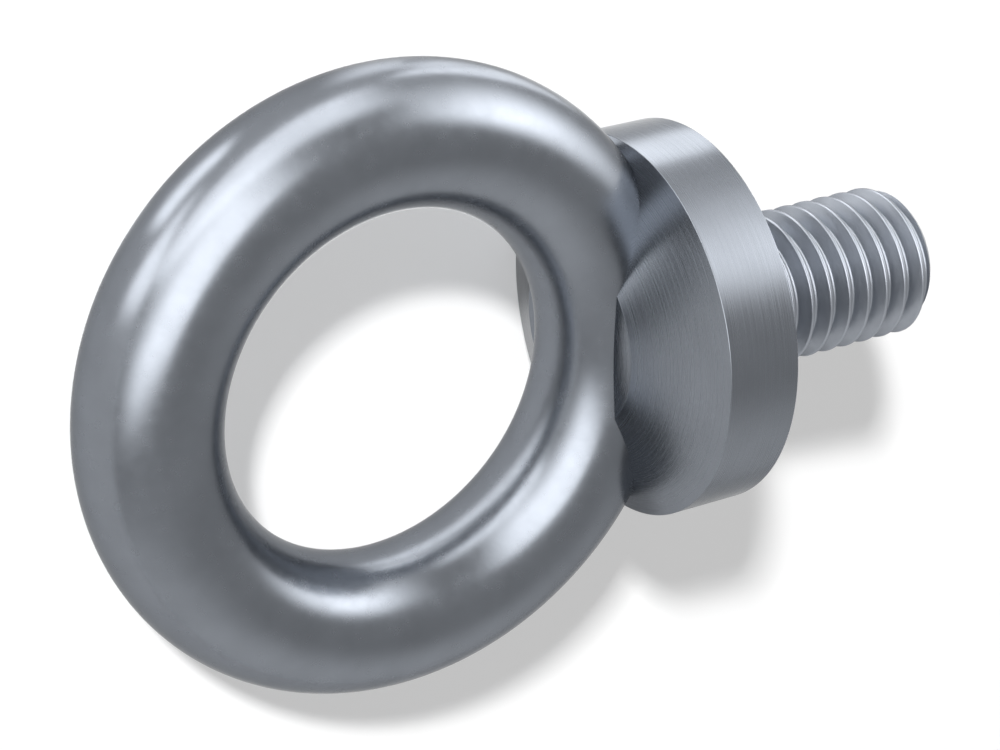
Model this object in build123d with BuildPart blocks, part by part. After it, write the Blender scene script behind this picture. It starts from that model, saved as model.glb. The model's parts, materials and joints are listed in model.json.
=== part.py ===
from build123d import *
import os
from math import asin, atan2, cos, hypot, sin

# Lifting eye bolt, forged in one piece. Sizes are in millimetres.

# Ring
eye_diameter = 23.0
bar_diameter = 9.0  # round section of the ring

# Collar
collar_diameter = 25.0
rim_height = 5.0  # straight side, up from the seat face
shoulder_height = 3.0  # cone from the straight side to the neck
neck_diameter = 12.0  # flat face that the ring runs into
seat_cover = 1.5  # metal between the outside of the ring and the seat face

# Threaded shank, modelled as the cylinder over the thread's crests
thread_diameter = 10.0
thread_pitch = 1.5
thread_length = 17.0
depth_per_pitch = 0.61343  # of a metric external thread

# Radii, and places along the shank's axis from the centre of the ring
bar_radius = bar_diameter / 2
ring_radius = eye_diameter / 2 + bar_radius
collar_radius = collar_diameter / 2
neck_radius = neck_diameter / 2
thread_radius = thread_diameter / 2
thread_depth = depth_per_pitch * thread_pitch
tip_radius = thread_radius - thread_depth

seat = ring_radius + bar_radius + seat_cover
rim = seat - rim_height
neck = rim - shoulder_height
tip = seat + thread_length

# The bolt lies on the floor, on the far side of its ring and on the collar's edge towards the ring.
# Its axis leans up from the ring to the thread by the angle that brings both down to the floor.
span = ring_radius + rim
lean = atan2(collar_radius, span) - asin(bar_radius / hypot(span, collar_radius))
ring_centre_height = ring_radius * sin(lean) + bar_radius

# The origin is on the floor, halfway between the back of the ring and the front of the shank.
back_reach = ring_radius * cos(lean) + bar_radius
front_reach = tip * cos(lean) + tip_radius * sin(lean)

bolt_plane = Plane(
    origin=((back_reach - front_reach) / 2, 0, ring_centre_height),
    x_dir=(cos(lean), 0, sin(lean)),
    z_dir=(-sin(lean), 0, cos(lean)),
)

with BuildPart(bolt_plane) as eye_bolt:
    # Turned collar and shank, one profile round the shank's axis
    with BuildSketch(bolt_plane):
        with BuildLine():
            Polyline(
                (neck, 0),
                (neck, neck_radius),
                (rim, collar_radius),
                (seat, collar_radius),
                (seat, thread_radius),
                (tip - thread_depth, thread_radius),
                (tip, tip_radius),
                (tip, 0),
                close=True,
            )
        make_face()
    revolve(axis=Axis(bolt_plane.origin, bolt_plane.x_dir))
    # Ring, which runs into the neck and the shoulder with no fillet
    Torus(ring_radius, bar_radius)

os.makedirs("parts", exist_ok=True)
eye_bolt.part.label = "eye_bolt"
export_step(eye_bolt.part, "parts/eye_bolt.step")
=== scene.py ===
import json
from math import cos, pi, radians, sin, tan

import bmesh
import bpy
import numpy as np
from mathutils import Matrix, Vector


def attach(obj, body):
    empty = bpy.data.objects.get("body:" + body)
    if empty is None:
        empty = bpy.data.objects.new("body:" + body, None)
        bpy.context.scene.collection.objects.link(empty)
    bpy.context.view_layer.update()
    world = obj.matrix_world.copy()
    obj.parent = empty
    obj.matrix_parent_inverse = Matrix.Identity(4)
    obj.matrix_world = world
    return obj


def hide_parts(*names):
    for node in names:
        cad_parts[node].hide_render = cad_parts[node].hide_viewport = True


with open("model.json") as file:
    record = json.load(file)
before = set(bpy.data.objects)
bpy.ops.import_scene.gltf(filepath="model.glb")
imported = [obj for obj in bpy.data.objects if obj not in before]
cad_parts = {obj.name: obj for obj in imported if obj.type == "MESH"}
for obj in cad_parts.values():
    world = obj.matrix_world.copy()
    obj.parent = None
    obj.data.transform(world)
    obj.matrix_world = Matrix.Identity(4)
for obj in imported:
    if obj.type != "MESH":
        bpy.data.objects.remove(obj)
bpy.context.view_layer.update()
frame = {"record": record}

MM = 0.001

# The bolt's own axes, read from its mounts: x along the shank towards its end, y across the ring, and z out
# of the ring's upper side. They start at the centre of the ring. The bolt's sizes are in millimetres on them.
mounts = {mount["name"]: mount for mount in frame["record"]["mounts"]}
bolt_x = Vector(mounts["thread"]["axis"]).normalized()
bolt_z = Vector(mounts["eye"]["axis"]).normalized()
bolt_axes = Matrix((bolt_x, bolt_z.cross(bolt_x), bolt_z)).transposed().to_4x4()
bolt_place = Matrix.Translation(mounts["eye"]["pos_m"]) @ bolt_axes

# Ring
BAR_RADIUS = 4.5
RING_RADIUS = 16.0  # to the middle of the bar
# Collar
COLLAR_RADIUS = 12.5
NECK_RADIUS = 6.0
NECK, RIM, SEAT = 14.0, 17.0, 22.0  # faces along x
EDGE_ROUND = 0.07  # of the collar's turned edges
# Thread
THREAD_RADIUS = mounts["thread"]["dims"]["r_mm"]
PITCH = 1.5
TIP = 39.0  # end of the shank along x
DEPTH_PER_PITCH = 0.61343  # of a metric external thread
THREAD_DEPTH = DEPTH_PER_PITCH * PITCH
FLANK = radians(30)  # from a plane square to the shank
CREST_FLAT = PITCH / 8
ROOT_FLAT = PITCH - CREST_FLAT - 2 * THREAD_DEPTH * tan(FLANK)
CREST_ROUND, ROOT_ROUND = 0.155, 0.215  # so that little of those flats stays flat
THREAD_PHASE = -0.07  # crest position along x at angle 0, in pitches

# Steps in the meshes
RING_STEPS, BAR_STEPS = 256, 96  # round the ring, and round its bar
COLLAR_STEPS = 256
TURN_STEPS = 128  # in a turn of the thread, and round the blank that cuts it to length
FILLET_STEPS = 5  # in each rounding of the thread
EDGE_STEPS = 3  # in each rounding of the collar
OFF_STEP = 0.37  # turns the collar and the blank a little, so that no edge lies on one of the thread's

SAME_NORMAL = cos(radians(0.5))  # of the angle up to which two normals count as one
SLIVER = 0.0005  # edges shorter than this are closed up
TINY = 1e-9  # stands in for a length of 0 where something is divided by it

# Order of the materials on the bolt
RING, TURNED, THREAD = range(3)


def placed_camera(name, spot, aim, lens):
    """A camera at spot that looks at aim with the bolt's y upright, both in mm on the bolt's axes."""
    camera = bpy.data.objects.new(name, bpy.data.cameras.new(name))
    camera.data.lens = lens
    camera.data.sensor_width = 36.0
    back = (Vector(spot) - Vector(aim)).normalized()
    right = Vector((0, 1, 0)).cross(back).normalized()
    turn = Matrix((right, back.cross(right), back)).transposed().to_4x4()
    camera.matrix_world = bolt_place @ Matrix.Translation(Vector(spot) * MM) @ turn
    bpy.context.scene.collection.objects.link(camera)
    return camera


camera = placed_camera("camera", spot=(-81.6, 77.95, 147.8), aim=(8.17, -1.41, 0), lens=109.4)
camera.data.clip_start = 0.01
bpy.context.scene.camera = camera


def solid(name, vertices, faces, material_index):
    """An object in mm on the bolt's axes, for the cuts and joins below."""
    mesh = bpy.data.meshes.new(name)
    mesh.from_pydata(vertices, [], faces)
    for material in materials:
        mesh.materials.append(material)
    mesh.polygons.foreach_set("material_index", [material_index] * len(mesh.polygons))
    made = bpy.data.objects.new(name, mesh)
    bpy.context.scene.collection.objects.link(made)
    return made


def around(x, radius, share):
    """The point at that distance along the shank and share of a turn round it."""
    return (x, radius * cos(2 * pi * share), radius * sin(2 * pi * share))


def ring_solid():
    """The round bar bent to a ring about z."""
    vertices = []
    for i in range(RING_STEPS):
        turn = 2 * pi * i / RING_STEPS
        for j in range(BAR_STEPS):
            roll = 2 * pi * j / BAR_STEPS
            reach = RING_RADIUS + BAR_RADIUS * cos(roll)
            vertices.append((reach * cos(turn), reach * sin(turn), BAR_RADIUS * sin(roll)))

    def at(i, j):
        return i % RING_STEPS * BAR_STEPS + j % BAR_STEPS

    faces = [
        (at(i, j), at(i + 1, j), at(i + 1, j + 1), at(i, j + 1))
        for i in range(RING_STEPS)
        for j in range(BAR_STEPS)
    ]
    return solid("ring", vertices, faces, RING)


def turned_solid(name, profile, steps):
    """A profile of (x, radius) points, turned round the shank's axis and closed by flat faces at its ends."""
    vertices = [(profile[0][0], 0, 0), (profile[-1][0], 0, 0)]
    for x, radius in profile:
        vertices += [around(x, radius, (k + OFF_STEP) / steps) for k in range(steps)]

    def at(i, k):
        return 2 + i * steps + k % steps

    last = len(profile) - 1
    faces = [(0, at(0, k + 1), at(0, k)) for k in range(steps)]
    faces += [(1, at(last, k), at(last, k + 1)) for k in range(steps)]
    faces += [
        (at(i, k), at(i, k + 1), at(i + 1, k + 1), at(i + 1, k)) for i in range(last) for k in range(steps)
    ]
    return solid(name, vertices, faces, TURNED)


def rounded(corners, size):
    """The corners of a profile with all but the first and last rounded to that radius."""
    points = [corners[0]]
    for before, corner, after in zip(corners, corners[1:], corners[2:]):
        corner = Vector(corner)
        into, out = (corner - Vector(before)).normalized(), (Vector(after) - corner).normalized()
        half_turn = into.angle(out) / 2
        centre = corner + (out - into).normalized() * size / cos(half_turn)
        start, end = corner - into * size * tan(half_turn), corner + out * size * tan(half_turn)
        for k in range(EDGE_STEPS + 1):
            spoke = (start.lerp(end, k / EDGE_STEPS) - centre).normalized()
            points.append(tuple(centre + spoke * size))
    return points + [corners[-1]]


def thread_profile():
    """One pitch of the thread as (x, radius, tilt) points, from the middle of one root to that of the next.
    The tilt is the angle of the surface's normal from square to the shank towards its end."""
    arc = pi / 2 - FLANK
    angles = [arc * k / FILLET_STEPS for k in range(FILLET_STEPS + 1)]
    root_radius = THREAD_RADIUS - THREAD_DEPTH
    root_edge = (ROOT_FLAT - PITCH) / 2 - ROOT_ROUND * tan(arc / 2)
    crest_edge = CREST_ROUND * tan(arc / 2) - CREST_FLAT / 2
    rising = [(-PITCH / 2, root_radius, 0)]
    for angle in angles:
        rise = ROOT_ROUND * (1 - cos(angle))
        rising.append((root_edge + ROOT_ROUND * sin(angle), root_radius + rise, -angle))
    for angle in reversed(angles):
        fall = CREST_ROUND * (1 - cos(angle))
        rising.append((crest_edge - CREST_ROUND * sin(angle), THREAD_RADIUS - fall, -angle))
    return rising + [(-x, radius, -tilt) for x, radius, tilt in reversed(rising)]


def screw_solid(start, turns):
    """The thread as a solid of that many turns, with its first crest at start along x at angle 0."""
    pitch_points = thread_profile()[:-1]
    row = [(start + PITCH * n + x, radius) for n in range(turns) for x, radius, _ in pitch_points]
    row.append((start + PITCH * turns - PITCH / 2, pitch_points[0][1]))
    per_turn, width = len(pitch_points), len(row)
    vertices = [(start - PITCH / 2, 0, 0), (start + PITCH * (turns + 0.5), 0, 0)]
    for i in range(TURN_STEPS):
        share = i / TURN_STEPS
        vertices += [around(x + PITCH * share, radius, share) for x, radius in row]
    # The last turn's end needs one more pitch of points at the first angle.
    extra = len(vertices)
    vertices += [around(x + PITCH, radius, 0) for x, radius in row[-per_turn:]]

    def at(i, j):
        if i < TURN_STEPS:
            return 2 + i * width + j
        if j + per_turn < width:
            return 2 + j + per_turn
        return extra + j + per_turn - width

    faces = [
        (at(i, j), at(i + 1, j), at(i + 1, j + 1), at(i, j + 1))
        for i in range(TURN_STEPS)
        for j in range(width - 1)
    ]
    faces += [(0, at(i + 1, 0), at(i, 0)) for i in range(TURN_STEPS)]
    faces += [(0, at(0, j), at(0, j + 1)) for j in range(per_turn)]
    faces += [(1, at(i, width - 1), at(i + 1, width - 1)) for i in range(TURN_STEPS)]
    faces += [(1, at(TURN_STEPS, j + 1), at(TURN_STEPS, j)) for j in range(width - 1 - per_turn, width - 1)]
    return solid("screw", vertices, faces, THREAD)


def combine(target, tool, operation):
    """Applies one exact boolean to target, and deletes tool."""
    cut = target.modifiers.new(operation, "BOOLEAN")
    cut.operation = operation
    cut.solver = "EXACT"
    cut.object = tool
    result = bpy.data.meshes.new_from_object(target.evaluated_get(bpy.context.evaluated_depsgraph_get()))
    target.modifiers.clear()
    target.data = result
    bpy.data.objects.remove(tool)


def maths(nodes, links, operation, *values):
    """The output of a math node on those values, each one a socket or a number."""
    node = nodes.new("ShaderNodeMath")
    node.operation = operation
    for socket, value in zip(node.inputs, values):
        if isinstance(value, float):
            socket.default_value = value
        else:
            links.new(value, socket)
    return node.outputs[0]


# Steel
STEEL = (0.2, 0.215, 0.239)
THREAD_STEEL_WITH_PAINTED_LIGHT = (0.31, 0.33, 0.365)  # brighter than STEEL: painted light that makes up for the shade in the thread's grooves
EDGE_TINT = 0.55  # of the reflection at a glancing view
NOISE_LOW, NOISE_HIGH = 0.3, 0.7  # most of a noise lies between them


class Steel:
    """A steel material and the nodes that its detail is made of."""

    def __init__(self, name):
        self.material = bpy.data.materials.new(name)
        self.material.use_nodes = True
        self.nodes, self.links = self.material.node_tree.nodes, self.material.node_tree.links
        self.shader = self.nodes["Principled BSDF"]
        self.shader.inputs["Metallic"].default_value = 1.0
        self.shader.inputs["Specular Tint"].default_value = (EDGE_TINT, EDGE_TINT, EDGE_TINT, 1)
        place, turn, scale = (bolt_place @ Matrix.Scale(MM, 4)).inverted().decompose()
        mapping = self.nodes.new("ShaderNodeMapping")
        mapping.inputs["Location"].default_value = place
        mapping.inputs["Rotation"].default_value = turn.to_euler()
        mapping.inputs["Scale"].default_value = scale
        self.links.new(self.nodes.new("ShaderNodeTexCoord").outputs["Object"], mapping.inputs["Vector"])
        self.spot = mapping.outputs["Vector"]

    def noise(self, per_mm, detail, spot=None, dimensions="3D"):
        """Noise from 0 to 1, with that many features to a millimetre."""
        noise = self.nodes.new("ShaderNodeTexNoise")
        noise.noise_dimensions = dimensions
        noise.inputs["Scale"].default_value = per_mm
        noise.inputs["Detail"].default_value = detail
        self.links.new(spot or self.spot, noise.inputs["W" if dimensions == "1D" else "Vector"])
        return noise.outputs["Fac"]

    def stretched(self, scale):
        """The bolt's coordinates with each axis scaled."""
        mapping = self.nodes.new("ShaderNodeMapping")
        mapping.inputs["Scale"].default_value = scale
        self.links.new(self.spot, mapping.inputs["Vector"])
        return mapping.outputs["Vector"]

    def turning(self):
        """A length in millimetres along a turned profile: the place along the shank plus the radius."""
        apart = self.nodes.new("ShaderNodeSeparateXYZ")
        self.links.new(self.spot, apart.inputs[0])
        square = self.nodes.new("ShaderNodeCombineXYZ")
        self.links.new(apart.outputs["Y"], square.inputs["Y"])
        self.links.new(apart.outputs["Z"], square.inputs["Z"])
        radius = self.nodes.new("ShaderNodeVectorMath")
        radius.operation = "LENGTH"
        self.links.new(square.outputs[0], radius.inputs[0])
        return maths(self.nodes, self.links, "ADD", apart.outputs["X"], radius.outputs["Value"])

    def spread(self, value, low, high):
        """The middle of a noise's range, mapped to low and high."""
        spread = self.nodes.new("ShaderNodeMapRange")
        spread.inputs["From Min"].default_value = NOISE_LOW
        spread.inputs["From Max"].default_value = NOISE_HIGH
        spread.inputs["To Min"].default_value = low
        spread.inputs["To Max"].default_value = high
        self.links.new(value, spread.inputs["Value"])
        return spread.outputs["Result"]

    def colour(self, value, change, middle=STEEL):
        """The steel's colour, darker and lighter by that share."""
        mix = self.nodes.new("ShaderNodeMix")
        mix.data_type = "RGBA"
        mix.inputs["A"].default_value = (*(channel * (1 - change) for channel in middle), 1)
        mix.inputs["B"].default_value = (*(channel * (1 + change) for channel in middle), 1)
        self.links.new(self.spread(value, 0, 1), mix.inputs["Factor"])
        self.links.new(mix.outputs["Result"], self.shader.inputs["Base Color"])

    def roughness(self, value, low, high):
        """The steel's roughness, from low to high with the value."""
        self.links.new(self.spread(value, low, high), self.shader.inputs["Roughness"])

    def bump(self, *layers):
        """Layers of (value, height in millimetres), one on the other."""
        normal = None
        for value, height in layers:
            bump = self.nodes.new("ShaderNodeBump")
            bump.inputs["Distance"].default_value = height * MM
            self.links.new(value, bump.inputs["Height"])
            if normal:
                self.links.new(normal, bump.inputs["Normal"])
            normal = bump.outputs["Normal"]
        self.links.new(normal, self.shader.inputs["Normal"])


def forged_steel():
    """The ring: a forging blasted smooth and plated, with soft unevenness and a fine grain."""
    steel = Steel("forged_steel")
    grain = steel.noise(per_mm=5.0, detail=2)
    steel.colour(steel.noise(per_mm=0.35, detail=4), change=0.05)
    steel.roughness(steel.noise(per_mm=1.2, detail=3), low=0.23, high=0.28)
    steel.bump((steel.noise(per_mm=0.25, detail=1), 0.012), (grain, 0.0010))
    return steel.material


def turned_steel():
    """The collar, its faces and the end of the shank: fine tool marks round the shank's axis."""
    steel = Steel("turned_steel")
    marks = steel.noise(per_mm=7.0, detail=2, spot=steel.turning(), dimensions="1D")
    steel.colour(steel.noise(per_mm=0.35, detail=4), change=0.04)
    steel.roughness(marks, low=0.21, high=0.29)
    steel.bump((marks, 0.0010), (steel.noise(per_mm=5.0, detail=2), 0.0006))
    return steel.material


def rolled_steel():
    """The thread: smooth, with fine streaks drawn round the shank."""
    steel = Steel("rolled_steel")
    streaks = steel.noise(per_mm=1.0, detail=2, spot=steel.stretched((9.0, 0.8, 0.8)))
    # The thread's colour is lighter than the ring's steel: painted light for the shade in its grooves.
    steel.colour(steel.noise(per_mm=0.5, detail=4), change=0.05, middle=THREAD_STEEL_WITH_PAINTED_LIGHT)
    steel.roughness(streaks, low=0.34, high=0.42)
    steel.bump((streaks, 0.0008))
    return steel.material


materials = [forged_steel(), turned_steel(), rolled_steel()]


def unit(vectors):
    """The vectors scaled to length 1."""
    return vectors / np.maximum(np.linalg.norm(vectors, axis=1), TINY)[:, None]


def ring_normals(spots):
    """On the ring: away from the middle of its bar."""
    middle = unit(spots * (1, 1, 0)) * RING_RADIUS
    return unit(spots - middle)


def turned_normals(outward, flat):
    """On a turned face: the face's own slope, in the plane through the corner and the shank's axis."""
    along = flat[:, :1] * (1, 0, 0)
    across = np.sum(flat * outward, axis=1, keepdims=True)
    rise = np.sqrt(np.maximum(1 - flat[:, :1] ** 2, 0)) * np.sign(across)
    return unit(along + rise * outward)


def thread_normals(spots, outward):
    """On the thread: the tilt of its profile there, and its lead round the shank."""
    angle = np.arctan2(spots[:, 2], spots[:, 1])
    reach = np.linalg.norm(spots[:, 1:], axis=1)
    profile = np.array(thread_profile())
    place = spots[:, 0] - PITCH * (angle / (2 * pi) + THREAD_PHASE)
    place = place - PITCH * np.round(place / PITCH)
    tilt = np.interp(place, profile[:, 0], profile[:, 2])
    sideways = np.stack([0 * angle, -np.sin(angle), np.cos(angle)], axis=1)
    lead = -np.sin(tilt) * PITCH / (2 * pi * np.maximum(reach, TINY))
    level = np.sin(tilt)[:, None] * (1, 0, 0) + np.cos(tilt)[:, None] * outward
    return unit(level + lead[:, None] * sideways)


def values_of(items, name, kind, width=1):
    """That value of each of a mesh's items, as an array with a row of that width for each."""
    values = np.empty(len(items) * width, kind)
    items.foreach_get(name, values)
    return values.reshape(-1, width)


def surface_normals(mesh):
    """The true normal of the bolt's surfaces at each corner of each face."""
    corner_vertex = values_of(mesh.loops, "vertex_index", int)[:, 0]
    sides = values_of(mesh.polygons, "loop_total", int)[:, 0]
    spots = values_of(mesh.vertices, "co", float, width=3)[corner_vertex]
    flat = np.repeat(values_of(mesh.polygons, "normal", float, width=3), sides, axis=0)
    kind = np.repeat(values_of(mesh.polygons, "material_index", int), sides, axis=0)
    outward = unit(spots * (0, 1, 1))
    return np.select(
        [kind == RING, kind == TURNED],
        [ring_normals(spots), turned_normals(outward, flat)],
        thread_normals(spots, outward),
    )


def mark_sharp(mesh, normals):
    """Makes each edge sharp where the normals on its two sides differ, so that they stay apart."""
    corners = {}
    for face in mesh.polygons:
        loops = list(face.loop_indices)
        for loop, after in zip(loops, loops[1:] + loops[:1]):
            edge, start = mesh.loops[loop].edge_index, mesh.loops[loop].vertex_index
            corners.setdefault(edge, []).append((start, normals[loop], normals[after]))
    for edge, sides in corners.items():
        if len(sides) == 2:
            (start, first, last), (other_start, other_first, other_last) = sides
            if start != other_start:
                other_first, other_last = other_last, other_first
            same = min(first @ other_first, last @ other_last) > SAME_NORMAL
            mesh.edges[edge].use_edge_sharp = not same


def collar_solid():
    """The collar, with its turned edges rounded."""
    corners = [(NECK, 0), (NECK, NECK_RADIUS), (RIM, COLLAR_RADIUS), (SEAT, COLLAR_RADIUS), (SEAT, 0)]
    return turned_solid("eye_bolt_forging", rounded(corners, EDGE_ROUND)[1:-1], COLLAR_STEPS)


def shank_solid():
    """The threaded shank: a screw cut to length by a turned blank, whose end also cuts the chamfer."""
    buried = 1.0  # of the shank in the collar
    spare = 1.0  # of the blank outside the crests, so that only its end cuts them
    spare_turns = 2  # of the screw past each end of the blank
    blank_radius = THREAD_RADIUS + spare
    profile = [
        (SEAT - buried, blank_radius),
        (TIP - THREAD_DEPTH - spare, blank_radius),
        (TIP, THREAD_RADIUS - THREAD_DEPTH),
    ]
    blank = turned_solid("blank", profile, TURN_STEPS)
    first_crest = PITCH * (int((SEAT - buried) / PITCH) - spare_turns + THREAD_PHASE)
    shank = screw_solid(first_crest, turns=int((TIP - first_crest) / PITCH) + spare_turns)
    combine(shank, blank, "INTERSECT")
    return shank


def close_slivers(mesh):
    """Makes the mesh of triangles, with its shortest edges closed up."""
    whole = bmesh.new()
    whole.from_mesh(mesh)
    bmesh.ops.triangulate(whole, faces=whole.faces)
    bmesh.ops.dissolve_degenerate(whole, dist=SLIVER, edges=whole.edges)
    bmesh.ops.triangulate(whole, faces=whole.faces)
    whole.to_mesh(mesh)
    whole.free()


def whole_bolt():
    """The bolt as one closed mesh, at its place in the frame and shaded by its true normals."""
    bolt = collar_solid()
    shank = shank_solid()
    combine(bolt, ring_solid(), "UNION")
    combine(bolt, shank, "UNION")
    close_slivers(bolt.data)
    normals = surface_normals(bolt.data)
    bolt.data.shade_smooth()
    mark_sharp(bolt.data, normals)
    bolt.data.transform(bolt_place @ Matrix.Scale(MM, 4))
    bolt.data.normals_split_custom_set(normals @ np.array(bolt_axes.to_3x3()).T)
    return bolt


bolt = whole_bolt()
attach(bolt, "root")
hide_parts("eye_bolt")

# Lamps, with their sizes and places in metres in the frame
WALL_DISTANCE = 0.4  # of the wall lamps from the bolt
LAMP_LIFT = 0.0005  # of the floor lamps over the floor


def fade_edges(light, fade):
    """Fades a lamp's light towards its edges, over that length."""
    light.use_nodes = True
    nodes, links = light.node_tree.nodes, light.node_tree.links
    apart = nodes.new("ShaderNodeSeparateXYZ")
    links.new(nodes.new("ShaderNodeNewGeometry").outputs["Parametric"], apart.inputs[0])
    # Parametric runs from 0 to 1 across the lamp.
    half = 0.5
    levels = []
    for across, size in zip(apart.outputs, (light.size, light.size_y)):
        level = nodes.new("ShaderNodeMapRange")
        level.interpolation_type = "SMOOTHSTEP"
        level.inputs["From Min"].default_value = half
        level.inputs["From Max"].default_value = half - fade / size
        off_middle = maths(nodes, links, "SUBTRACT", across, half)
        links.new(maths(nodes, links, "ABSOLUTE", off_middle), level.inputs["Value"])
        levels.append(level.outputs["Result"])
    links.new(maths(nodes, links, "MULTIPLY", *levels), nodes["Emission"].inputs["Strength"])


def lamp(name, spot, width, height, radiance, aim=None, fade=0.0):
    """A lamp centred on spot that faces aim, or upwards. It fades out over the length fade and has its size
    halfway out. A radiance of 1 is white. The steel mirrors it but the camera can't see it."""
    light = bpy.data.lights.new(name, "AREA")
    light.shape = "RECTANGLE"
    light.size, light.size_y = width + fade, height + fade
    light.energy = radiance * pi * light.size * light.size_y
    if fade:
        fade_edges(light, fade)
    made = bpy.data.objects.new(name, light)
    made.location = spot
    if aim:
        made.rotation_euler = (Vector(spot) - Vector(aim)).to_track_quat("Z", "Y").to_euler()
    else:
        made.rotation_euler = (pi, 0, 0)
    made.visible_camera = False
    made.visible_diffuse = False
    bpy.context.scene.collection.objects.link(made)
    return made


def wall_lamp(name, azimuth, bottom, top, width, radiance, fade):
    """An upright lamp that faces the bolt from that direction, in degrees anticlockwise from +X."""
    x, y = WALL_DISTANCE * cos(radians(azimuth)), WALL_DISTANCE * sin(radians(azimuth))
    middle = (bottom + top) / 2
    lamp(name, (x, y, middle), width, top - bottom, radiance, (0, 0, middle), fade)


def floor_lamp(name, x, y, length, width, turn, radiance, fade=0.006):
    """A lamp that lies on the floor and faces up, with its length turned by that angle from +X."""
    made = lamp(name, (x, y, LAMP_LIFT), length, width, radiance, fade=fade)
    made.rotation_euler.z = radians(turn)


def studio():
    """The lamps that the steel shows: two large soft ones, and small ones low round the bolt and under it."""
    wall_lamp("large_lamp", azimuth=152.5, bottom=0.135, top=0.985, width=0.62, radiance=4.0, fade=0.30)
    wall_lamp("side_lamp", azimuth=34.5, bottom=0.11, top=0.57, width=0.34, radiance=5.2, fade=0.42)
    spot, aim = (-0.058, 0.060, 0.0155), (-0.058, 0, 0.0155)
    lamp("low_lamp", spot, width=0.12, height=0.031, radiance=2.9, aim=aim, fade=0.02)
    floor_lamp("left_lamp", x=-0.063, y=0.031, length=0.065, width=0.017, turn=161, radiance=3.0)
    floor_lamp("back_lamp", x=0.023, y=0.035, length=0.034, width=0.0285, turn=-12, radiance=3.0)
    floor_lamp("eye_lamp", x=-0.0065, y=0.0072, length=0.031, width=0.0118, turn=4, radiance=2.6)
    floor_lamp("under_lamp", x=-0.024, y=0.021, length=0.010, width=0.0045, turn=45, radiance=3.2, fade=0.003)
    floor_lamp("thread_lamp", x=0.017, y=0.0125, length=0.020, width=0.009, turn=0, radiance=0.7)
    floor_lamp("edge_lamp", x=0.0015, y=0.0272, length=0.016, width=0.008, turn=8, radiance=2.4, fade=0.008)
    floor_lamp("end_lamp", x=0.070, y=-0.0145, length=0.036, width=0.018, turn=-20, radiance=1.8, fade=0.010)


studio()

# The key lights only the floor, and gives the bolt its shadow there.
KEY_AZIMUTH, KEY_ELEVATION = 134, 32  # degrees
KEY_SPREAD = 4  # degrees across, for the softness of the shadow
KEY_DISTANCE = 3.0  # metres
KEY_LEVEL = 0.85  # of white, on a white floor


def key():
    """The key lamp, as bright as it takes to give the floor under the bolt its level."""
    azimuth, elevation = radians(KEY_AZIMUTH), radians(KEY_ELEVATION)
    direction = Vector((cos(azimuth) * cos(elevation), sin(azimuth) * cos(elevation), sin(elevation)))
    size = 2 * KEY_DISTANCE * tan(radians(KEY_SPREAD) / 2)
    radiance = KEY_LEVEL * pi * KEY_DISTANCE**2 / (size**2 * sin(elevation))
    made = lamp("key", direction * KEY_DISTANCE, size, size, radiance, aim=(0, 0, 0))
    made.visible_diffuse = True
    made.visible_glossy = False


key()

# Floor and world
FLOOR_SIZE = 6.0  # metres
FLOOR_COLOUR = 0.6
FLOOR_LIFT = 0.4  # of white, for the rays that show a background
SKY_LEVEL, SKY_SIDE = 0.58, 1.1  # over the bolt, and on its side towards -Y
SIDE_START, SIDE_FULL = -0.36, -0.98  # Y of the directions where that side's level starts and is full
SKY_FILL = 0.3  # on the floor


def seen_rays(nodes, links):
    """1 for the rays that show a background: from the camera, off gloss and through glass."""
    path = nodes.new("ShaderNodeLightPath")
    seen = path.outputs["Is Camera Ray"]
    for kind in ("Is Glossy Ray", "Is Transmission Ray"):
        seen = maths(nodes, links, "MAXIMUM", seen, path.outputs[kind])
    return seen


def floor():
    """The floor, which takes the bolt's shadow. It glows a little for the rays that show a background."""
    bpy.ops.mesh.primitive_plane_add(size=FLOOR_SIZE)
    plane = bpy.context.object
    plane.name = "floor"
    material = bpy.data.materials.new("floor_white")
    material.use_nodes = True
    nodes, links = material.node_tree.nodes, material.node_tree.links
    nodes.clear()
    diffuse = nodes.new("ShaderNodeBsdfDiffuse")
    diffuse.inputs["Color"].default_value = (FLOOR_COLOUR, FLOOR_COLOUR, FLOOR_COLOUR, 1)
    glow = nodes.new("ShaderNodeEmission")
    lift = maths(nodes, links, "MULTIPLY", seen_rays(nodes, links), FLOOR_LIFT)
    links.new(lift, glow.inputs["Strength"])
    add = nodes.new("ShaderNodeAddShader")
    links.new(diffuse.outputs[0], add.inputs[0])
    links.new(glow.outputs[0], add.inputs[1])
    out = nodes.new("ShaderNodeOutputMaterial")
    links.new(add.outputs[0], out.inputs["Surface"])
    plane.data.materials.append(material)


floor()


def sky():
    """The world: brighter towards -Y for the rays that show a background, and even for the floor's light."""
    world = bpy.data.worlds.new("studio")
    bpy.context.scene.world = world
    world.use_nodes = True
    nodes, links = world.node_tree.nodes, world.node_tree.links
    apart = nodes.new("ShaderNodeSeparateXYZ")
    links.new(nodes.new("ShaderNodeTexCoord").outputs["Generated"], apart.inputs[0])
    level = nodes.new("ShaderNodeMapRange")
    level.interpolation_type = "SMOOTHSTEP"
    level.inputs["From Min"].default_value = SIDE_START
    level.inputs["From Max"].default_value = SIDE_FULL
    level.inputs["To Min"].default_value = SKY_LEVEL
    level.inputs["To Max"].default_value = SKY_SIDE
    links.new(apart.outputs["Y"], level.inputs["Value"])
    seen = nodes["Background"]
    seen.inputs["Color"].default_value = (1, 1, 1, 1)
    links.new(level.outputs["Result"], seen.inputs["Strength"])
    fill = nodes.new("ShaderNodeBackground")
    fill.inputs["Strength"].default_value = SKY_FILL
    mix = nodes.new("ShaderNodeMixShader")
    links.new(seen_rays(nodes, links), mix.inputs["Fac"])
    links.new(fill.outputs[0], mix.inputs[1])
    links.new(seen.outputs[0], mix.inputs[2])
    links.new(mix.outputs[0], nodes["World Output"].inputs["Surface"])


sky()

bpy.context.scene.view_settings.view_transform = "Standard"
